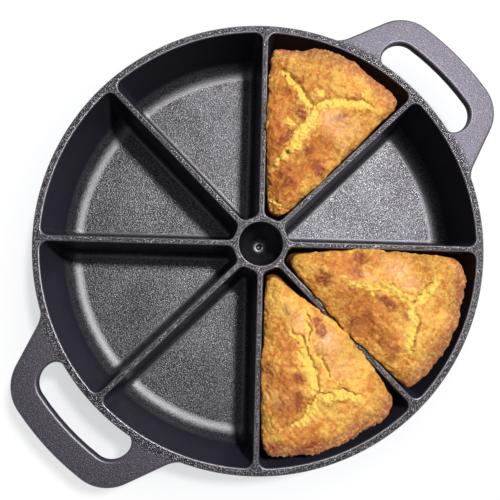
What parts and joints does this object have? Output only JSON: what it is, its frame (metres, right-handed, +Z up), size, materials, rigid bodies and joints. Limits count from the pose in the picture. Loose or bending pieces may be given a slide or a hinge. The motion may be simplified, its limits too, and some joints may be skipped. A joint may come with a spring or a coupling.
{
  "type": "wedge cornbread skillet",
  "caption": "Round cast iron wedge pan with wedge pockets, a bowl in the hub, loop handles on two sides and loose cornbread wedges in some of the pockets.",
  "frame": {"origin": "under the middle of the round pan, on the surface it stands on", "axes": "+X along the two handles, +Z up out of the pockets, +Y across the pan"},
  "size_m": [0.3284, 0.26, 0.052],
  "materials": {
    "seasoned_iron": "matte",
    "cornbread": "matte"
  },
  "bodies": {
    "pan": {"pan_casting": "seasoned_iron"},
    "wedge_1": {"cornbread_wedge_1": "cornbread"},
    "wedge_2": {"cornbread_wedge_2": "cornbread"},
    "wedge_3": {"cornbread_wedge_3": "cornbread"}
  },
  "joints": [
    {"name": "wedge_1_lift", "type": "slide", "parent": "pan", "child": "wedge_1", "axis": [0, 0, 1], "range_m": [0, 0.08]},
    {"name": "wedge_2_lift", "type": "slide", "parent": "pan", "child": "wedge_2", "axis": [0, 0, 1], "range_m": [0, 0.08]},
    {"name": "wedge_3_lift", "type": "slide", "parent": "pan", "child": "wedge_3", "axis": [0, 0, 1], "range_m": [0, 0.08]}
  ]
}
